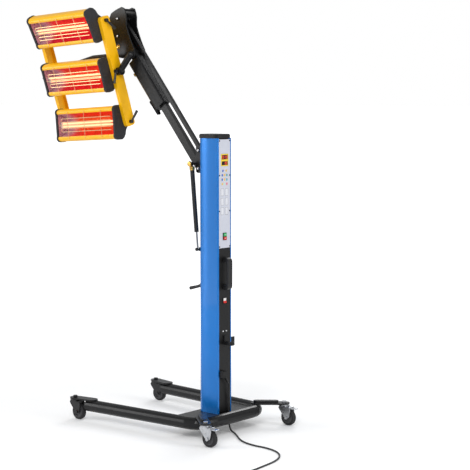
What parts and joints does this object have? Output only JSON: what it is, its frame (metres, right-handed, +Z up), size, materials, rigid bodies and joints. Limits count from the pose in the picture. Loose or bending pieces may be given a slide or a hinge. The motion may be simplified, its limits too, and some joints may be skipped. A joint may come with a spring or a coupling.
{
  "type": "infrared paint curing lamp",
  "caption": "Infrared paint curing lamp on a wheeled mast stand, with a parallel lift arm, a tilting frame of lamp cassettes, wire guards and an operator's panel.",
  "frame": {"origin": "on the floor, under the middle of the bounding box of everything but the mains cord and its plug", "axes": "+Z up; +X from the legs and lamps towards the operator's side, which the panel faces; +Y the far side, away from the lamps' faces, so -Y is the side that the lamps face"},
  "size_m": [1.899, 1.052, 2.0647],
  "materials": {
    "black_paint": "satin black powder coat",
    "blue_paint": "satin blue coat on an aluminium extrusion",
    "yellow_paint": "gloss yellow powder coat",
    "black_plastic": "fine matt black plastic",
    "panel_film": "pale silver-grey film on a flat panel",
    "display": "dark glossy window with red digits",
    "green_button": "moulded green push button",
    "red_button": "moulded red push button",
    "circuit_board": "green laminate with components",
    "zinc": "bright zinc plate",
    "rubber": "matt black rubber",
    "chrome": "polished chrome",
    "guard_wire": "bright plated wire",
    "reflector": "hammered bright aluminium",
    "quartz": "glowing orange-red quartz tubes"
  },
  "bodies": {
    "stand": {"base_frame": "black_paint", "mast_extrusion": "blue_paint", "mast_top_cap": "black_plastic", "control_panel": "panel_film", "display_window": "display", "switch_bezel": "black_plastic", "control_board": "circuit_board", "lower_cover": "black_plastic", "grab_handle": "black_plastic", "cord_gland": "black_plastic", "back_rail": "black_paint", "mains_cord": "rubber", "mains_cord_coil": "rubber", "mains_plug": "black_plastic"},
    "fork_front_near": {"caster_fork_front_near": "zinc"},
    "wheel_front_near": {"caster_wheel_front_near": "rubber"},
    "fork_front_far": {"caster_fork_front_far": "zinc"},
    "wheel_front_far": {"caster_wheel_front_far": "rubber"},
    "fork_rear_near": {"caster_fork_rear_near": "zinc"},
    "wheel_rear_near": {"caster_wheel_rear_near": "rubber"},
    "pedal_rear_near": {"brake_pedal_rear_near": "zinc"},
    "fork_rear_far": {"caster_fork_rear_far": "zinc"},
    "wheel_rear_far": {"caster_wheel_rear_far": "rubber"},
    "pedal_rear_far": {"brake_pedal_rear_far": "zinc"},
    "on_button": {"on_button": "green_button"},
    "off_button": {"off_button": "red_button"},
    "breaker": {"breaker_rocker": "red_button"},
    "mast_lever": {"mast_clamp_lever": "black_plastic"},
    "lift_arm": {"lower_arm": "black_paint", "arm_cover": "black_plastic", "arm_rod": "chrome"},
    "upper_link": {"upper_link": "black_paint"},
    "coupler": {"end_bracket": "black_paint", "head_neck": "black_paint"},
    "strut_rod": {"strut_rod": "chrome"},
    "strut_cylinder": {"strut_cylinder": "black_paint"},
    "neck_lever": {"neck_clamp_lever": "black_plastic"},
    "head": {"head_bar_right": "yellow_paint", "head_bar_left": "yellow_paint", "cross_tube": "black_paint", "lamp_middle_housing": "yellow_paint", "lamp_middle_reflector": "reflector", "lamp_middle_cap_right": "black_paint", "lamp_middle_cap_left": "black_paint", "lamp_middle_guard": "guard_wire", "lamp_middle_heater": "quartz"},
    "lamp_top": {"lamp_top_housing": "yellow_paint", "lamp_top_reflector": "reflector", "lamp_top_cap_right": "black_paint", "lamp_top_cap_left": "black_paint", "lamp_top_guard": "guard_wire", "lamp_top_heater": "quartz"},
    "lamp_top_lever": {"lamp_top_lever": "black_plastic"},
    "lamp_bottom": {"lamp_bottom_housing": "yellow_paint", "lamp_bottom_reflector": "reflector", "lamp_bottom_cap_right": "black_paint", "lamp_bottom_cap_left": "black_paint", "lamp_bottom_guard": "guard_wire", "lamp_bottom_heater": "quartz"},
    "lamp_bottom_lever": {"lamp_bottom_lever": "black_plastic"}
  },
  "joints": [
    {"name": "swivel_front_near", "type": "hinge", "parent": "stand", "child": "fork_front_near", "pos_m": [-0.25336, -0.292, 0.1], "axis": [0, 0, 1], "continuous": true},
    {"name": "roll_front_near", "type": "hinge", "parent": "fork_front_near", "child": "wheel_front_near", "pos_m": [-0.22536, -0.292, 0.04], "axis": [0, 1, 0], "continuous": true},
    {"name": "swivel_front_far", "type": "hinge", "parent": "stand", "child": "fork_front_far", "pos_m": [-0.25336, 0.292, 0.1], "axis": [0, 0, 1], "continuous": true},
    {"name": "roll_front_far", "type": "hinge", "parent": "fork_front_far", "child": "wheel_front_far", "pos_m": [-0.22536, 0.292, 0.04], "axis": [0, 1, 0], "continuous": true},
    {"name": "swivel_rear_near", "type": "hinge", "parent": "stand", "child": "fork_rear_near", "pos_m": [0.62864, -0.292, 0.1], "axis": [0, 0, 1], "continuous": true},
    {"name": "roll_rear_near", "type": "hinge", "parent": "fork_rear_near", "child": "wheel_rear_near", "pos_m": [0.65664, -0.292, 0.04], "axis": [0, 1, 0], "continuous": true},
    {"name": "brake_rear_near", "type": "hinge", "parent": "fork_rear_near", "child": "pedal_rear_near", "pos_m": [0.67064, -0.292, 0.088], "axis": [0, 1, 0], "range_deg": [0, 12]},
    {"name": "swivel_rear_far", "type": "hinge", "parent": "stand", "child": "fork_rear_far", "pos_m": [0.62864, 0.292, 0.1], "axis": [0, 0, 1], "continuous": true},
    {"name": "roll_rear_far", "type": "hinge", "parent": "fork_rear_far", "child": "wheel_rear_far", "pos_m": [0.65664, 0.292, 0.04], "axis": [0, 1, 0], "continuous": true},
    {"name": "brake_rear_far", "type": "hinge", "parent": "fork_rear_far", "child": "pedal_rear_far", "pos_m": [0.67064, 0.292, 0.088], "axis": [0, 1, 0], "range_deg": [0, 12]},
    {"name": "on_button_press", "type": "slide", "parent": "stand", "child": "on_button", "axis": [-1, 0, 0], "range_m": [0, 0.003], "stiffness_N_per_m": 300},
    {"name": "off_button_press", "type": "slide", "parent": "stand", "child": "off_button", "axis": [-1, 0, 0], "range_m": [0, 0.003], "stiffness_N_per_m": 300},
    {"name": "breaker_rock", "type": "hinge", "parent": "stand", "child": "breaker", "pos_m": [0.49064, 0, 0.638], "axis": [0, 1, 0], "range_deg": [0, 16]},
    {"name": "mast_lever_turn", "type": "hinge", "parent": "stand", "child": "mast_lever", "pos_m": [0.36464, 0, 0.7], "axis": [1, 0, 0], "range_deg": [-90, 90]},
    {"name": "arm_lift", "type": "hinge", "parent": "stand", "child": "lift_arm", "pos_m": [0.34164, 0, 1.2723], "axis": [0, 1, 0], "range_deg": [-80, 9]},
    {"name": "upper_link_pivot", "type": "hinge", "parent": "stand", "child": "upper_link", "pos_m": [0.34164, 0, 1.3593], "axis": [0, 1, 0], "range_deg": [-80, 9]},
    {"name": "bracket_pivot", "type": "hinge", "parent": "lift_arm", "child": "coupler", "pos_m": [-0.18321, 0, 1.92044], "axis": [0, 1, 0], "range_deg": [-9, 80]},
    {"name": "strut_swing", "type": "hinge", "parent": "stand", "child": "strut_rod", "pos_m": [0.34864, -0.033, 0.88], "axis": [0, 1, 0], "range_deg": [-0.4, 1.6]},
    {"name": "strut_stroke", "type": "slide", "parent": "strut_rod", "child": "strut_cylinder", "axis": [-0.0914, 0, 0.9958], "range_m": [-0.0495, 0.006]},
    {"name": "neck_lever_turn", "type": "hinge", "parent": "coupler", "child": "neck_lever", "pos_m": [-0.1299, -0.1003, 1.74429], "axis": [0, -1, 0], "range_deg": [0, 70]},
    {"name": "head_tilt", "type": "hinge", "parent": "coupler", "child": "head", "pos_m": [-0.1299, -0.08, 1.74429], "axis": [0.9986, 0, 0.0523], "range_deg": [-10, 60]},
    {"name": "lamp_top_tilt", "type": "hinge", "parent": "head", "child": "lamp_top", "pos_m": [-0.39569, -0.15194, 1.98159], "axis": [0.9986, 0, 0.0523], "range_deg": [-30, 12]},
    {"name": "lamp_top_lever_turn", "type": "hinge", "parent": "head", "child": "lamp_top_lever", "pos_m": [-0.14802, -0.15194, 1.99457], "axis": [0.9986, 0, 0.0523], "range_deg": [-75, 0]},
    {"name": "lamp_bottom_tilt", "type": "hinge", "parent": "head", "child": "lamp_bottom", "pos_m": [-0.36942, -0.00806, 1.4805], "axis": [0.9986, 0, 0.0523], "range_deg": [-8, 36]},
    {"name": "lamp_bottom_lever_turn", "type": "hinge", "parent": "head", "child": "lamp_bottom_lever", "pos_m": [-0.12176, -0.00806, 1.49348], "axis": [0.9986, 0, 0.0523], "range_deg": [-60, 60]}
  ],
  "couplings": [
    {"joint": "upper_link_pivot", "follows": "arm_lift", "ratio": 1},
    {"joint": "bracket_pivot", "follows": "arm_lift", "ratio": -1},
    {"joint": "strut_swing", "follows": "arm_lift", "ratio": -0.0165},
    {"joint": "strut_stroke", "follows": "arm_lift", "m_per_rad": 0.03504}
  ]
}
